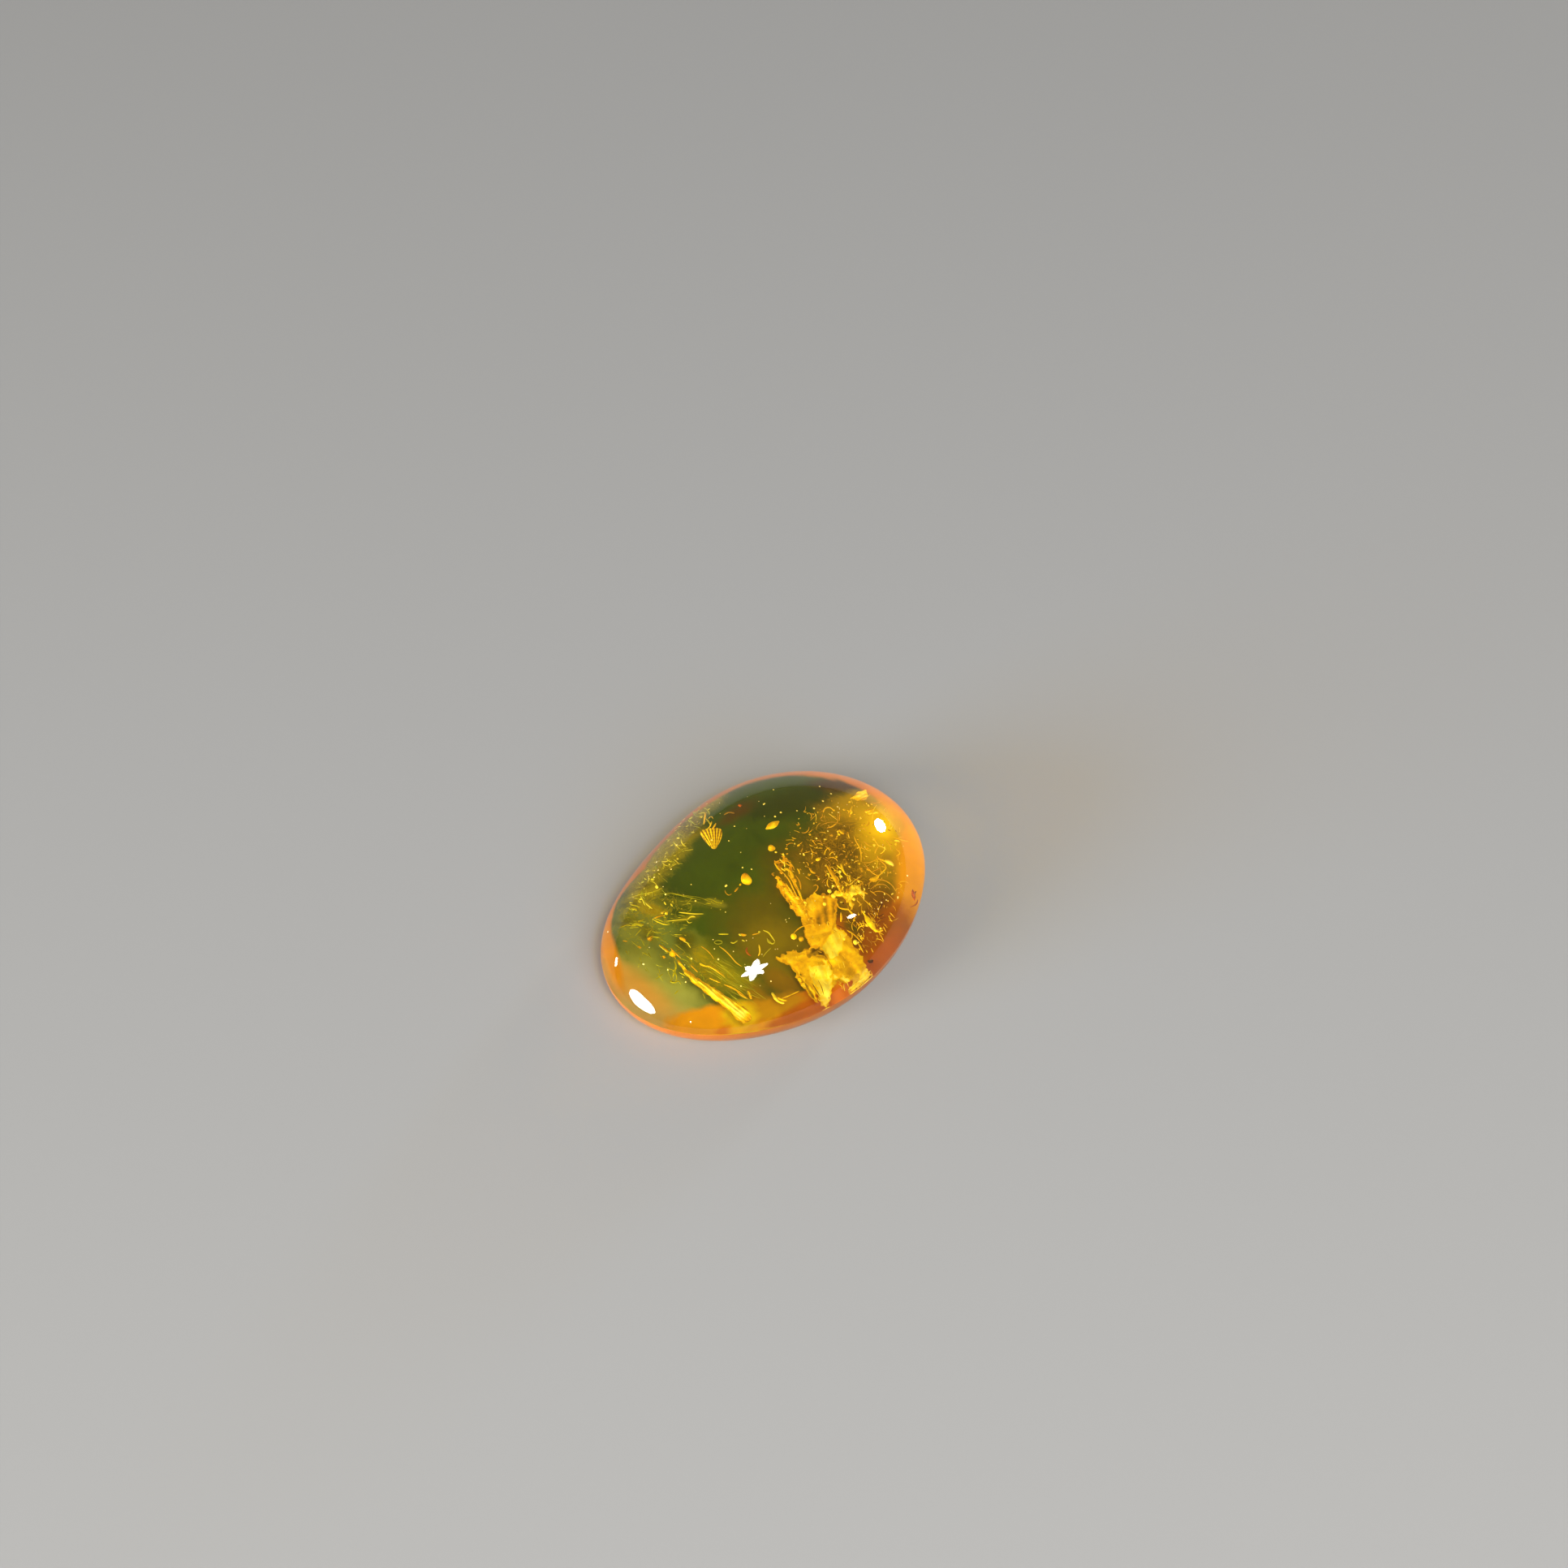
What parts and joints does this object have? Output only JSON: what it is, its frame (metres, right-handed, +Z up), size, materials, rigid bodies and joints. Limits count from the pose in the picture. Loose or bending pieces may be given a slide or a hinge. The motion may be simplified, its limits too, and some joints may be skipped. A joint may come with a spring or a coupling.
{
  "type": "polished amber cabochon with inclusions",
  "caption": "Oval amber cabochon, flat underneath and domed on top, polished clear, with golden flakes, dark specks and insect-like fragments sealed inside.",
  "frame": {"origin": "middle of the flat underside, at the centre of the stone's bounding box in plan", "axes": "+X along the oval's long axis, +Y across it, +Z up through the dome"},
  "size_m": [0.0278, 0.0202, 0.0085],
  "materials": {
    "amber": "polished",
    "golden_flake": "satin",
    "dark_brown": "satin",
    "rust_brown": "satin"
  },
  "bodies": {
    "root": {"amber_lower": "amber", "amber_upper": "amber", "ridged_fragment": "golden_flake", "golden_drop": "golden_flake", "golden_chip": "golden_flake", "golden_bead": "golden_flake", "slender_body": "golden_flake", "dark_speck": "dark_brown", "red_crumb": "rust_brown"}
  },
  "joints": []
}
